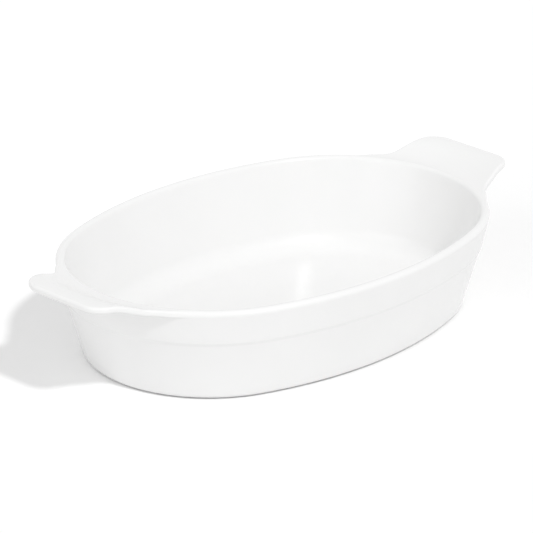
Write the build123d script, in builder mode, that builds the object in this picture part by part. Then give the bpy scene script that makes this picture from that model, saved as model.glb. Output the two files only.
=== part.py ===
from build123d import *
import math
import os

# Oval porcelain gratin dish with a lug handle at each end.
# Millimetres. The origin is the middle of the foot, on the surface the dish stands on.
# +X runs along the dish through both handles, and +Z is up.

# The rim, measured along the crest of its rounded lip
rim_length = 260.0
rim_width = 179.5
rim_height = 55.9

# The radius of the rim's ends, as a share of half its width
rim_end_share = 0.899

# The wall
lip_thickness = 5.0
band_draft = 12.7
wall_draft = 15.8
well_draft = 15.5
band_height = 19.5
ledge_depth = 1.1
ledge_height = 2.0
ledge_round = 1.1

# The bottom
floor_thickness = 5.5
heel_radius = 3.5
cove_radius = 14.0

# The foot, a low ring set in under the heel
foot_height = 0.4
foot_width = 4.5
foot_inset = 15.6
foot_round = 0.2

# The two handles
handle_reach = 29.0
handle_taper = 8.3
handle_corner_radius = 13.0
handle_flare_radius = 16.0
handle_flare_angle = 44.5
handle_flare_length = 29.6
handle_tuck = 0.8
handle_thickness = 3.75
handle_rise = 6.9
handle_sink = 0.2
handle_sweep = 25.7
handle_lap = 0.6
handle_edge_round = 1.5

# The coat of glaze
glaze_thickness = 0.4

# How far the solids that are only used to cut or join others run past them
overrun = 3.0

# A face counts as upright while its normal rises no more than this
upright_limit = 0.01
half_turn = 180.0


def slope(angle):
    """Run of a wall per unit of height, at this many degrees from upright."""
    return math.tan(math.radians(angle))


def polar(radius, angle):
    """The point this far from the origin, in this many degrees' direction."""
    return radius * math.cos(math.radians(angle)), radius * math.sin(math.radians(angle))


lip_radius = lip_thickness / 2
half_length = rim_length / 2
half_width = rim_width / 2
rim_end_radius = half_width * rim_end_share
underside = foot_height
floor_level = foot_height + floor_thickness

# The rim is an oval of four arcs, two round the ends and two along the sides, that meet smoothly
side_radius = (half_length**2 + half_width**2 - 2 * half_length * rim_end_radius) / (
    2 * (half_width - rim_end_radius)
)
end_centre = half_length - rim_end_radius
side_centre = side_radius - half_width
end_angle = math.degrees(math.atan2(side_centre, end_centre))


# Each arc as its centre, its radius, its first angle and its sweep
arcs = [
    ((end_centre, 0), rim_end_radius, -end_angle, 2 * end_angle),
    ((0, -side_centre), side_radius, end_angle, half_turn - 2 * end_angle),
    ((-end_centre, 0), rim_end_radius, half_turn - end_angle, 2 * end_angle),
    ((0, side_centre), side_radius, half_turn + end_angle, half_turn - 2 * end_angle),
]

# The wall's corners before they are rounded, each as its distance out from the crest and its height
lip_level = rim_height - lip_radius
lip_out, lip_drop = polar(lip_radius, band_draft)
lip_in, lip_lift = polar(lip_radius, well_draft)
band_top = (lip_out, lip_level - lip_drop)
band_level = rim_height - band_height
band_foot = (band_top[0] - (band_top[1] - band_level) * slope(band_draft), band_level)
ledge_foot = (band_foot[0] - ledge_depth, band_level - ledge_height)
heel = (ledge_foot[0] - (ledge_foot[1] - underside) * slope(wall_draft), underside)
well_top = (-lip_in, lip_level + lip_lift)
cove = (well_top[0] - (well_top[1] - floor_level) * slope(well_draft), floor_level)

# The wall's section ends on the flat floor, a little inside the edge of the floor's own plate
floor_inset = cove_radius - cove[0]
wall_root = floor_inset + overrun

# The handles sweep round the middle of the rim's end arc, and are cut from blocks that start this far up
end_axis = Axis((end_centre, 0, 0), (0, 0, 1))
handle_base = rim_height - handle_sink - handle_thickness - overrun


def oval(inset, height):
    """The rim's oval, set in from the crest by this much, as a flat face at this height."""
    with BuildSketch(Plane.XY.offset(height)) as outline:
        with BuildLine():
            for centre, radius, first, sweep in arcs:
                CenterArc(centre, radius - inset, first, sweep)
        make_face()
    return outline.sketch


def upright_plane(centre, angle):
    """An upright plane through an arc's centre: its X runs outwards and its Y runs up."""
    outwards = polar(1, angle)
    return Plane(origin=(*centre, 0), x_dir=(*outwards, 0), z_dir=(outwards[1], -outwards[0], 0))


def wall_section(plane, radius, skin):
    """The wall cut through, from its lip to its heel and a little of the floor, less a skin."""
    outside = [(radius + out, level) for out, level in (band_top, band_foot, ledge_foot, heel)]
    inside = [(radius + out, level) for out, level in (well_top, cove)]
    root = radius - wall_root
    with BuildSketch(plane) as section:
        with BuildLine():
            CenterArc((radius, lip_level), lip_radius, -band_draft, half_turn - well_draft + band_draft)
            FilletPolyline(*outside, (root, underside), radius=[ledge_round, ledge_round, heel_radius])
            FilletPolyline(*inside, (root, floor_level), radius=cove_radius)
            Line((root, underside), (root, floor_level))
        make_face()
        if skin > 0:
            offset(amount=-skin)
    return section.sketch


def bowl(skin):
    """The whole bowl as one solid, less a skin all over."""
    with BuildPart() as form:
        for centre, radius, first, sweep in arcs:
            section = wall_section(upright_plane(centre, first), radius, skin)
            revolve(section, axis=Axis((*centre, 0), (0, 0, 1)), revolution_arc=sweep)
        extrude(oval(floor_inset, underside + skin), amount=floor_thickness - 2 * skin)
    return form.part


def handle_outline(skin):
    """The right handle seen from above, from just inside the crest of the rim, less a skin."""
    flare_out, flare_y = polar(rim_end_radius + lip_radius - handle_tuck, handle_flare_angle)
    flare_start = (end_centre + flare_out, flare_y)
    inner_out, inner_y = polar(rim_end_radius - handle_lap - overrun, handle_flare_angle)
    inner_start = (end_centre + inner_out, inner_y)
    flare_down, flare_along = polar(handle_flare_length, handle_flare_angle)
    flare_end = (flare_start[0] + flare_along, flare_start[1] - flare_down)
    tip = (half_length + handle_reach, flare_end[1] - handle_taper)
    corner_radii = [handle_flare_radius, handle_corner_radius, handle_corner_radius, handle_flare_radius]
    with BuildSketch(Plane.XY.offset(handle_base)) as outline:
        with BuildLine():
            FilletPolyline(
                flare_start,
                flare_end,
                tip,
                (tip[0], -tip[1]),
                (flare_end[0], -flare_end[1]),
                (flare_start[0], -flare_start[1]),
                radius=corner_radii,
            )
            Polyline(
                (flare_start[0], -flare_start[1]),
                (inner_start[0], -inner_start[1]),
                inner_start,
                flare_start,
            )
        make_face()
        if skin > 0:
            offset(amount=-skin)
        add(oval(handle_lap - skin, handle_base), mode=Mode.SUBTRACT)
    return outline.sketch


def handle_profile(skin):
    """The handle cut outwards from the rim: up from the crest in a double bend, then level, less a skin."""
    bend_start = (rim_end_radius, rim_height - handle_sink)
    bend_end = (rim_end_radius + handle_sweep, rim_height + handle_rise)
    bend_middle = ((bend_start[0] + bend_end[0]) / 2, (bend_start[1] + bend_end[1]) / 2)
    steepest = 2 * math.degrees(math.atan2(handle_rise + handle_sink, handle_sweep))
    root = rim_end_radius - 2 * overrun
    tip = rim_end_radius + handle_reach + overrun
    with BuildSketch(upright_plane((end_centre, 0), -end_angle)) as profile:
        with BuildLine():
            for depth in (skin, handle_thickness - skin):
                sideways, down = polar(depth, steepest)[::-1]
                start = (bend_start[0], bend_start[1] - depth)
                middle = (bend_middle[0] + sideways, bend_middle[1] - down)
                end = (bend_end[0], bend_end[1] - depth)
                Line((root, start[1]), start)
                TangentArc(start, middle, tangent=(1, 0))
                TangentArc(end, middle, tangent=(-1, 0))
                Line(end, (tip, end[1]))
            Line((root, bend_start[1] - skin), (root, bend_start[1] - handle_thickness + skin))
            Line((tip, bend_end[1] - skin), (tip, bend_end[1] - handle_thickness + skin))
        make_face()
    return profile.sketch


def handle(skin):
    """The right handle with all its edges rounded, less a skin. It still runs into the rim."""
    with BuildPart() as sweep:
        revolve(handle_profile(skin), axis=end_axis, revolution_arc=2 * end_angle)
    with BuildPart() as lug:
        extrude(handle_outline(skin), amount=rim_height + handle_rise + overrun - handle_base)
        add(sweep.part, mode=Mode.INTERSECT)
        upright = lug.faces().filter_by(lambda face: abs(face.normal_at().Z) < upright_limit)
        upright = upright.sort_by(lambda face: math.hypot(face.center().X - end_centre, face.center().Y))
        inner, sides = upright[:3], upright[3:]
        rounded = sides.edges() - sides.edges().filter_by(Axis.Z) - inner.edges()
        fillet(rounded, radius=handle_edge_round - skin)
    return lug.part


with BuildPart() as foot_ring:
    extrude(oval(foot_inset, 0), amount=underside + overrun)
    extrude(oval(foot_inset + foot_width, 0), amount=underside + overrun, mode=Mode.SUBTRACT)
    fillet(foot_ring.edges().group_by(Axis.Z)[0], radius=foot_round)
    add(bowl(glaze_thickness), mode=Mode.SUBTRACT)

with BuildPart() as dish_body:
    add(bowl(glaze_thickness))

with BuildPart() as right_handle:
    add(handle(glaze_thickness))
    add(dish_body.part, mode=Mode.SUBTRACT)

with BuildPart() as left_handle:
    add(right_handle.part.mirror(Plane.YZ))

with BuildPart() as glaze:
    add(bowl(0))
    coated_handle = handle(0)
    add(coated_handle)
    add(coated_handle.mirror(Plane.YZ))
    for core in (dish_body, right_handle, left_handle, foot_ring):
        add(core.part, mode=Mode.SUBTRACT)

dish_body.part.label = "dish_body"
right_handle.part.label = "right_handle"
left_handle.part.label = "left_handle"
foot_ring.part.label = "foot_ring"
glaze.part.label = "glaze"

os.makedirs("parts", exist_ok=True)
for piece in (dish_body, right_handle, left_handle, foot_ring, glaze):
    export_step(piece.part, f"parts/{piece.part.label}.step")
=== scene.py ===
import math

import bmesh
import bpy
from mathutils import Matrix, Vector


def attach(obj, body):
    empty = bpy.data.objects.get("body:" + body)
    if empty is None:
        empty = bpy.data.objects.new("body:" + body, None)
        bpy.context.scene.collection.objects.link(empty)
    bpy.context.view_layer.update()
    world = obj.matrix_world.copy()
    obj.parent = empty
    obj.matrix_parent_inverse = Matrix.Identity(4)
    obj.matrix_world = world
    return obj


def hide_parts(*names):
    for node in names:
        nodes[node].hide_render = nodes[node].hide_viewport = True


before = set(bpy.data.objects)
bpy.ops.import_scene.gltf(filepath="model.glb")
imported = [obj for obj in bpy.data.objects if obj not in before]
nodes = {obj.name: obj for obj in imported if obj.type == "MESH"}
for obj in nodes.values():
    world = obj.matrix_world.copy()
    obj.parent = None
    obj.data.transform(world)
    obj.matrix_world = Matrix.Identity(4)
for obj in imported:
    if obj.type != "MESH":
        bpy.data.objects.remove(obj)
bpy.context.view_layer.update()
mm = 0.001


# The body and its two lugs are pressed from one white porcelain clay, joined while damp and
# fired. They are matte and faintly grainy under the glaze, which covers all of them.


class Amount:
    """A value inside a material: arithmetic on it adds the Math nodes."""

    def __init__(self, finish, socket):
        self.finish = finish
        self.socket = socket

    def combine(self, operation, first, second):
        return self.finish.node("ShaderNodeMath", {"operation": operation}, {0: first, 1: second})

    def __add__(self, other):
        return self.combine("ADD", self, other)

    def __sub__(self, other):
        return self.combine("SUBTRACT", self, other)

    def __rsub__(self, other):
        return self.combine("SUBTRACT", other, self)

    def __mul__(self, other):
        return self.combine("MULTIPLY", self, other)

    __radd__ = __add__
    __rmul__ = __mul__


class Finish:
    """A material, or the world, that starts plain and is given its nodes one by one."""

    def __init__(self, name, kind="materials"):
        self.material = getattr(bpy.data, kind).new(name)
        self.material.use_nodes = True
        self.tree = self.material.node_tree
        self.surface = self.tree.nodes.get("Principled BSDF") or self.tree.nodes["Background"]
        self.place = self.node("ShaderNodeTexCoord", output="Object")

    def connect(self, socket, value):
        """Links a value to a socket, or sets the socket to a number, a vector or a colour."""
        if isinstance(value, Amount):
            self.tree.links.new(value.socket, socket)
        elif socket.type == "RGBA":
            socket.default_value = (*value, 1)
        else:
            socket.default_value = value

    def node(self, kind, settings=None, inputs=None, output=0):
        """Adds a node with its settings and what goes into its sockets, and gives one output."""
        made = self.tree.nodes.new(kind)
        for name, value in (settings or {}).items():
            setattr(made, name, value)
        for name, value in (inputs or {}).items():
            self.connect(made.inputs[name], value)
        return Amount(self, made.outputs[output])

    def noise(self, scale, detail=2.0, stretch=None):
        """A cloudy pattern, with about this many clouds to the metre."""
        place = self.place
        if stretch:
            place = self.node("ShaderNodeMapping", inputs={"Vector": place, "Scale": stretch})
        inputs = {"Vector": place, "Scale": scale, "Detail": detail}
        return self.node("ShaderNodeTexNoise", inputs=inputs, output="Fac")

    def ramp(self, amount, low, high, least=0.0, most=1.0):
        """Runs from least to most while an amount goes from low to high."""
        inputs = {"Value": amount, "From Min": low, "From Max": high, "To Min": least, "To Max": most}
        return self.node("ShaderNodeMapRange", inputs=inputs)

    def tint(self, share, first, second):
        """Mixes a share of the second colour into the first."""
        # Sockets 6 and 7 and output 2 are the ones for colours, among others of the same names
        inputs = {"Factor": share, 6: first, 7: second}
        return self.node("ShaderNodeMix", {"data_type": "RGBA"}, inputs, output=2)

    def relief(self, height, depth, under=None):
        """Bumps of this depth, alone or on top of the ones under them."""
        inputs = {"Height": height, "Distance": depth, "Strength": 1.0}
        if under:
            inputs["Normal"] = under
        return self.node("ShaderNodeBump", inputs=inputs)

    def set(self, **values):
        """Sets the surface's own sockets, named with an underscore for each space."""
        for name, value in values.items():
            self.connect(self.surface.inputs[name.replace("_", " ")], value)


def dress(name, finish):
    """Gives a node of the CAD its material."""
    slots = nodes[name].data.materials
    slots.clear()
    slots.append(finish.material)


biscuit = Finish("biscuit")
grain = biscuit.noise(scale=2600.0, detail=3.0)
biscuit.set(
    Base_Color=biscuit.tint(grain, (0.80, 0.79, 0.765), (0.88, 0.872, 0.85)),
    Roughness=biscuit.ramp(grain, 0.3, 0.7, least=0.62, most=0.78),
    Normal=biscuit.relief(grain, depth=0.02 * mm),
)
for name in ("dish_body", "left_handle", "right_handle"):
    dress(name, biscuit)


# The foot is a low ring turned under the body. Its glaze is wiped off before firing, so it is
# bare, fine-grained and slightly cream, with grey rubs where the dish has stood.
bare_foot = Finish("bare_foot")
sand = bare_foot.noise(scale=3200.0, detail=4.0)
cloud = bare_foot.noise(scale=90.0, detail=3.0)
rub = bare_foot.ramp(bare_foot.noise(scale=420.0, detail=4.0, stretch=(1.0, 3.0, 1.0)), 0.60, 0.72)
clay = bare_foot.tint(bare_foot.ramp(cloud, 0.3, 0.7), (0.74, 0.715, 0.67), (0.82, 0.80, 0.765))
bare_foot.set(
    Base_Color=bare_foot.tint(rub * 0.45, clay, (0.50, 0.49, 0.475)),
    Roughness=bare_foot.ramp(sand, 0.3, 0.7, least=0.70, most=0.86),
    Normal=bare_foot.relief(sand, depth=0.035 * mm),
)
dress("foot_ring", bare_foot)


# The glaze is a coat of white glass, fired on to the whole dish but for the foot. Its surface
# is what shows: one skin that runs over the rim and out over both handles without a seam.
# Its sizes are in millimetres and its angles in degrees.

# The rim is an oval of four arcs that meet smoothly, two round the ends and two along the sides
half_length = 130.0
half_width = 89.75
end_radius = 80.685
side_radius = (half_length**2 + half_width**2 - 2 * half_length * end_radius) / (
    2 * (half_width - end_radius)
)
end_centre = half_length - end_radius
side_centre = side_radius - half_width
end_angle = math.degrees(math.atan2(side_centre, end_centre))

# The wall's heights over the table, and its drafts, which are how far each face is from upright
lip_height = 55.9
lip_radius = 2.5
well_draft = 15.5
band_draft = 12.7
wall_draft = 15.8
band_level = 36.4
ledge_level = 34.4
ledge_depth = 1.1
ledge_round = 1.1
heel_round = 3.5
cove_round = 14.0
underside = 0.4
floor_level = 5.9

# How many parts the rounds and straights of the wall's section and the rim's arcs are cut into
cove_parts = 12
well_parts = 6
lip_parts = 12
ledge_parts = 2
wall_parts = 5
heel_parts = 8
end_parts = 160
side_parts = 56

# From the crest of the rim outwards, the section's rows are later drawn out into the handles.
# In turn they make a handle's top, the round of its upper edge, its side, the round of its
# lower edge, its underside and the hollow under its root. The last ones stay on the band.
top_rows = 12
edge_rows = 6
side_rows = 5
turn_rows = 5
under_rows = 9
root_rows = 5
band_rows = 4

# The first three groups share the outside of the lip, and the next three lie close below it
top_swing = 24.0
edge_swing = 43.0
side_swing = 90 + band_draft - top_swing - edge_swing
root_depth = 0.85

# Points nearer than this, where the sweep round the dish closes, are made one
weld_distance = 0.01

coat = bmesh.new()
row_mark = coat.verts.layers.float.new("row")


def polar(radius, angle):
    """The point this far from the origin, in this many degrees' direction."""
    return Vector((math.cos(math.radians(angle)), math.sin(math.radians(angle)))) * radius


def step(bearing, length):
    """A step in the plane of the section: 0 degrees runs outwards from the dish and 90 runs up."""
    return polar(length, bearing).to_3d().xzy


def lean(draft):
    """How far a wall at this draft runs outwards for each millimetre up."""
    return math.tan(math.radians(draft))


def down_wall(top, draft, level):
    """The point of the section at this level, down a wall that leans in from its top."""
    return Vector((top.x - (top.y - level) * lean(draft), level))


def rounded_path(corners, radii):
    """The straights and turns of a path through these corners, rounded between its ends.

    Each comes as its length, the bearing that it starts at, and its radius: 0 for a straight,
    and negative for a turn to the right.
    """
    legs = [Vector(there) - Vector(here) for here, there in zip(corners, corners[1:])]
    bearings = [math.degrees(math.atan2(leg.y, leg.x)) for leg in legs]
    swings = [(after - before + 180) % 360 - 180 for before, after in zip(bearings, bearings[1:])]
    path = []
    cut = 0
    for leg, bearing, swing, radius in zip(legs, bearings, swings + [0], radii + [0]):
        next_cut = radius * math.tan(math.radians(abs(swing)) / 2)
        path.append((leg.length - cut - next_cut, bearing, 0))
        path.append((radius * math.radians(abs(swing)), bearing, math.copysign(radius, swing)))
        cut = next_cut
    return path[:-1]


def draw_run(tip, bearing, length, parts):
    """Draws the section on in a straight line."""
    for part in range(parts):
        made = bmesh.ops.extrude_vert_indiv(coat, verts=[tip])["verts"]
        bmesh.ops.translate(coat, verts=made, vec=step(bearing, length * mm / parts))
        tip = made[0]
    return tip


def spin_on(geometry, pivot, axis, swing, parts):
    """Spins some of the coat round an axis, leaving a trail, and gives what lies at its far end."""
    angle = math.radians(swing)
    made = bmesh.ops.spin(coat, geom=geometry, cent=pivot, axis=axis, angle=angle, steps=parts)
    return made["geom_last"]


def draw_turn(tip, bearing, swing, radius, parts):
    """Turns the section, which runs at this bearing, to its left by a positive swing."""
    pivot = tip.co + step(bearing + math.copysign(90, swing), radius * mm)
    return spin_on([tip], pivot, (0, -1, 0), swing, parts)[0]


def draw_wall(tip, corners, radii, parts):
    """Draws the section on from corner to corner, with the parts of each straight and turn."""
    for (length, bearing, radius), count in zip(rounded_path(corners, radii), parts):
        if radius:
            tip = draw_turn(tip, bearing, math.degrees(length / radius), abs(radius), count)
        else:
            tip = draw_run(tip, bearing, length, count)
    return tip


# The corners of the section, as the distance out from the crest of the rim and the height
lip_middle = Vector((0, lip_height - lip_radius))
band_top = lip_middle + polar(lip_radius, -band_draft)
well_top = lip_middle + polar(lip_radius, 180 - well_draft)
band_foot = down_wall(band_top, band_draft, band_level)
ledge_foot = Vector((band_foot.x - ledge_depth, ledge_level))
heel = down_wall(ledge_foot, wall_draft, underside)
cove = down_wall(well_top, well_draft, floor_level)
plate_edge = cove.x - cove_round

# The section is drawn from the edge of the floor's flat plate, up the well and over the lip
start = coat.verts.new((plate_edge * mm, 0, floor_level * mm))
inside = [(plate_edge, floor_level), cove, well_top]
tip = draw_wall(start, inside, [cove_round], [1, cove_parts, well_parts])
tip = draw_turn(tip, 90 - well_draft, well_draft - 90, lip_radius, lip_parts)
crest_place = len(coat.verts) - 1
bearing = 0
for swing, rows in ((top_swing, top_rows), (edge_swing, edge_rows), (side_swing, side_rows)):
    tip = draw_turn(tip, bearing, -swing, lip_radius, rows)
    bearing -= swing

# Then it runs down the band, over the ledge and round the heel to the plate's underside
root_foot = down_wall(band_top, band_draft, band_top.y - root_depth)
tip = draw_run(tip, bearing, (root_foot - band_top).length, turn_rows + under_rows + root_rows)
outside = [root_foot, band_foot, ledge_foot, heel, (plate_edge, underside)]
outside_parts = [band_rows, ledge_parts, 1, ledge_parts, wall_parts, heel_parts, 1]
draw_wall(tip, outside, [ledge_round, ledge_round, heel_round], outside_parts)

# Each row is marked with its number, counted from the crest
edge_start = top_rows
side_start = edge_start + edge_rows
turn_start = side_start + side_rows
under_start = turn_start + turn_rows
root_start = under_start + under_rows
band_start = root_start + root_rows
for row, vert in enumerate(list(coat.verts)[crest_place : crest_place + band_start + band_rows]):
    vert[row_mark] = row

# The section is stood at the start of the right end and spun round the four arcs in turn
place = Matrix.Translation((end_centre * mm, 0, 0)) @ Matrix.Rotation(math.radians(-end_angle), 4, "Z")
place = place @ Matrix.Translation((end_radius * mm, 0, 0))
bmesh.ops.transform(coat, matrix=place, space=Matrix.Identity(4), verts=coat.verts)
ring = list(coat.verts) + list(coat.edges)
end_arc = (2 * end_angle, end_parts)
side_arc = (180 - 2 * end_angle, side_parts)
for centre, (swing, parts) in (
    ((end_centre, 0), end_arc),
    ((0, -side_centre), side_arc),
    ((-end_centre, 0), end_arc),
    ((0, side_centre), side_arc),
):
    ring = spin_on(ring, (centre[0] * mm, centre[1] * mm, 0), (0, 0, 1), swing, parts)
bmesh.ops.remove_doubles(coat, verts=coat.verts, dist=weld_distance * mm)
bmesh.ops.edgeloop_fill(coat, edges=[edge for edge in coat.edges if edge.is_boundary])

# A handle sweeps up from the crest in a double bend, straight in its middle at the slant, and
# then runs out level. It is drawn 0.1 mm thicker than the solid, so that it covers the lug.
rise = 6.9
sweep = 25.7
slant = math.radians(24.0)
thickness = 3.85
bend = (sweep - rise / math.tan(slant)) / math.tan(slant / 2) / 2

# Its edges are rounded, and so is the hollow between its root and the band
edge_round = 1.5
root_round = 1.5

# Seen from above, its edge runs from the middle of the tip straight to a round corner, in along
# the side, round a hollow curve at the flare, and straight on until it grazes the lip
reach = 29.0
taper = 8.3
corner_round = 13.0
flare_round = 16.0
flare_angle = 44.5
flare_length = 29.6
tuck = 0.8

# The edge comes fully free of the lip over this distance
blend = 1.5

# The rows on its top lie closer together towards the crest, by this power
top_crowding = 1.6

end_middle = Vector((end_centre, 0))
lip_edge = end_radius + lip_radius
flare = polar(lip_edge - tuck, flare_angle) + polar(flare_length, flare_angle - 90)
root_angle = math.degrees(math.atan2(flare.y, flare.x) + math.acos(lip_edge / flare.length))
tip_middle = Vector((half_length + reach, 0))
tip_corner = Vector((half_length + reach, flare.y - taper))
root_point = end_middle + polar(lip_edge, root_angle)
edge_corners = [tip_middle, tip_corner, end_middle + flare, root_point]
edge_path = rounded_path(edge_corners, [corner_round, flare_round])
edge_length = sum(length for length, bearing, radius in edge_path)
root_length = lip_edge * math.radians(root_angle)


def distance_out(point):
    """How far out from the crest of the rim's end a point lies, seen from above."""
    return (point - end_middle).length - end_radius


def surface_level(out, depth=0.0):
    """Height above the crest of the handle's top, or of what lies this deep under it, this far out."""
    out = max(out, 0)
    if out < (bend + depth) * math.sin(slant):
        return bend - math.sqrt((bend + depth) ** 2 - out**2)
    if out > sweep - (bend - depth) * math.sin(slant):
        return rise - bend + math.sqrt((bend - depth) ** 2 - max(sweep - out, 0) ** 2)
    return (out - bend * math.tan(slant / 2)) * math.tan(slant) - depth / math.cos(slant)


def edge_point(length):
    """The point this far along the handle's edge, and the way that the edge faces there."""
    point = tip_middle.copy()
    for run, bearing, radius in edge_path:
        part = min(run, length)
        if radius:
            point += polar(radius, bearing + 90)
            bearing += math.degrees(part / radius)
            point -= polar(radius, bearing + 90)
        else:
            point += polar(part, bearing)
        length -= part
        if not length:
            break
    return point, polar(1, bearing - 90)


# Where the handle's underside comes to the line of the band, as a distance out from the crest
root_out = down_wall(band_top, band_draft, lip_height + surface_level(band_top.x, thickness)).x


def drawn_out(row, angle, height):
    """Where a row of the lip or the band comes to lie in the handle, and how fully it does."""
    outwards = polar(1, angle)
    on_crest = end_middle + outwards * end_radius

    # At the root, the points along the edge keep the spacing that they have along the lip
    turned = angle / root_angle
    length = edge_length * turned + (edge_length - root_length) * math.sin(math.pi * turned) / math.pi
    edge, facing = edge_point(length)
    share = min(1, ((edge - on_crest).length - lip_radius) / blend)

    # Near the root there is less room for the rounds under the handle, so they are smaller
    room = (distance_out(edge) - root_out) / 2
    lower_round = min(edge_round, room)
    hollow = min(root_round, room)
    upper_start = edge - facing * edge_round
    lower_start = edge - facing * lower_round
    hollow_start = on_crest + outwards * (root_out + hollow)

    if row <= edge_start:
        point = on_crest.lerp(upper_start, (row / top_rows) ** top_crowding)
        level = surface_level(distance_out(point))
    elif row <= side_start:
        swing = math.pi / 2 * (row - edge_start) / edge_rows
        point = upper_start + facing * edge_round * math.sin(swing)
        level = surface_level(distance_out(point)) - edge_round * (1 - math.cos(swing))
    elif row <= turn_start:
        point = edge
        upper = surface_level(distance_out(edge)) - edge_round
        lower = surface_level(distance_out(edge), thickness) + lower_round
        level = upper + (lower - upper) * (row - side_start) / side_rows
    elif row <= under_start:
        swing = math.pi / 2 * (under_start - row) / turn_rows
        point = lower_start + facing * lower_round * math.sin(swing)
        level = surface_level(distance_out(point), thickness) + lower_round * (1 - math.cos(swing))
    elif row <= root_start:
        point = lower_start.lerp(hollow_start, (row - under_start) / under_rows)
        level = surface_level(distance_out(point), thickness)
    else:
        outer = Vector((root_out + hollow, surface_level(root_out + hollow, thickness)))
        corner = Vector((root_out, surface_level(root_out, thickness)))
        lower = corner - Vector((lean(band_draft), 1)) * hollow
        along = min(1, (row - root_start) / root_rows)
        place = outer.lerp(corner, along).lerp(corner.lerp(lower, along), along)
        if row > band_start:
            down = (root_foot.y - height) / (root_foot.y - band_level)
            place = lower.lerp(band_foot - Vector((0, lip_height)), down)
        point = on_crest + outwards * place.x
        level = place.y
    return Vector((point.x, point.y, lip_height + level)), share


for vert in coat.verts:
    row = round(vert[row_mark])
    side = math.copysign(1, vert.co.x)
    angle = math.degrees(math.atan2(vert.co.y, side * vert.co.x - end_centre * mm))
    if row and abs(angle) < root_angle:
        place, share = drawn_out(row, abs(angle), vert.co.z / mm)
        place = Vector((side * place.x, math.copysign(place.y, angle), place.z)) * mm
        vert.co = vert.co.lerp(place, share)
bmesh.ops.recalc_face_normals(coat, faces=coat.faces)

glaze_mesh = bpy.data.meshes.new("glaze_coat")
coat.to_mesh(glaze_mesh)
coat.free()
glaze_mesh.shade_smooth()
glaze_coat = bpy.data.objects.new("glaze_coat", glaze_mesh)
bpy.context.scene.collection.objects.link(glaze_coat)
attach(glaze_coat, "root")
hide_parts("glaze")

# The glass is white and glossy. It lies in faint waves with a finer orange peel on them, and its
# tone and gloss drift a little from place to place.
white_glaze = Finish("white_glaze")
waves = white_glaze.noise(scale=34.0, detail=1.0)
peel = white_glaze.noise(scale=210.0)
drift = white_glaze.noise(scale=22.0)
tone = white_glaze.ramp(drift, 0.3, 0.7)
white_glaze.set(
    Base_Color=white_glaze.tint(tone, (0.905, 0.905, 0.902), (0.92, 0.92, 0.918)),
    Roughness=white_glaze.ramp(peel * 0.4 + drift * 0.6, 0.3, 0.7, least=0.22, most=0.27),
    Normal=white_glaze.relief(
        peel, depth=0.010 * mm, under=white_glaze.relief(waves, depth=0.06 * mm)
    ),
)
glaze_mesh.materials.append(white_glaze.material)


# The floor is a sheet of white paper. The camera sees it as white as the backdrop, with the
# dish's shadow on it, and so does a reflection.

# How far the sheet reaches each way, in metres, and how white it is seen
sheet_reach = 6.0
seen_white = 1.05


def seen_directly(finish):
    """1 for what the camera sees, itself or in a gloss, and 0 for light on its way to a surface."""
    rays = ("Is Camera Ray", "Is Glossy Ray", "Is Transmission Ray")
    seen = sum(finish.node("ShaderNodeLightPath", output=ray) for ray in rays)
    return finish.ramp(seen, 0.0, 1.0)


paper = Finish("paper")
fibres = paper.noise(scale=900.0, detail=3.0)
paper.set(Base_Color=paper.tint(fibres, (0.86, 0.86, 0.86), (0.90, 0.90, 0.90)), Roughness=0.9)
lit = paper.node("ShaderNodeBsdfDiffuse", inputs={"Color": (seen_white, seen_white, seen_white)})
surface = Amount(paper, paper.surface.outputs["BSDF"])
mixed = paper.node("ShaderNodeMixShader", inputs={0: seen_directly(paper), 1: surface, 2: lit})
paper.connect(paper.tree.nodes["Material Output"].inputs["Surface"], mixed)
paper_mesh = bpy.data.meshes.new("paper_floor")
sheet = bmesh.new()
bmesh.ops.create_grid(sheet, x_segments=1, y_segments=1, size=sheet_reach)
sheet.to_mesh(paper_mesh)
sheet.free()
paper_mesh.materials.append(paper.material)
paper_floor = bpy.data.objects.new("paper_floor", paper_mesh)
bpy.context.scene.collection.objects.link(paper_floor)

# The studio: an even white surround, a lamp on the right of the camera, and a large soft
# window on its left. The surround is seen as plain white, and lights the dish less than that.
surround_light = 0.655
surround = Finish("surround", "worlds")
surround.set(
    Color=(1, 1, 1),
    Strength=surround.ramp(seen_directly(surround), 0.0, 1.0, least=surround_light, most=1.0),
)
bpy.context.scene.world = surround.material

for name, towards, strength, spread in (
    ("key", (-0.068, -0.645, 0.761), 1.07, 5.0),
    ("window", (-0.93, 0.0, 0.368), 0.44, 50.0),
):
    lamp = bpy.data.lights.new(name, "SUN")
    lamp.energy = strength
    lamp.angle = math.radians(spread)
    lit_from = bpy.data.objects.new(name, lamp)
    lit_from.rotation_euler = Vector(towards).to_track_quat("Z", "Y").to_euler()
    bpy.context.scene.collection.objects.link(lit_from)

# The camera stands well back with a long lens, and looks down on one side and the left end
lens = bpy.data.cameras.new("camera")
lens.lens = 281.745
lens.sensor_width = 36.0
lens.clip_start = 0.05
camera = bpy.data.objects.new("camera", lens)
eye = Vector((-1491.29, -1499.13, 888.73)) * mm
aim = Vector((55.69, 63.32, 0.0)) * mm
camera.location = eye
camera.rotation_euler = (eye - aim).to_track_quat("Z", "Y").to_euler()
bpy.context.scene.collection.objects.link(camera)
bpy.context.scene.camera = camera
bpy.context.scene.view_settings.view_transform = "Standard"
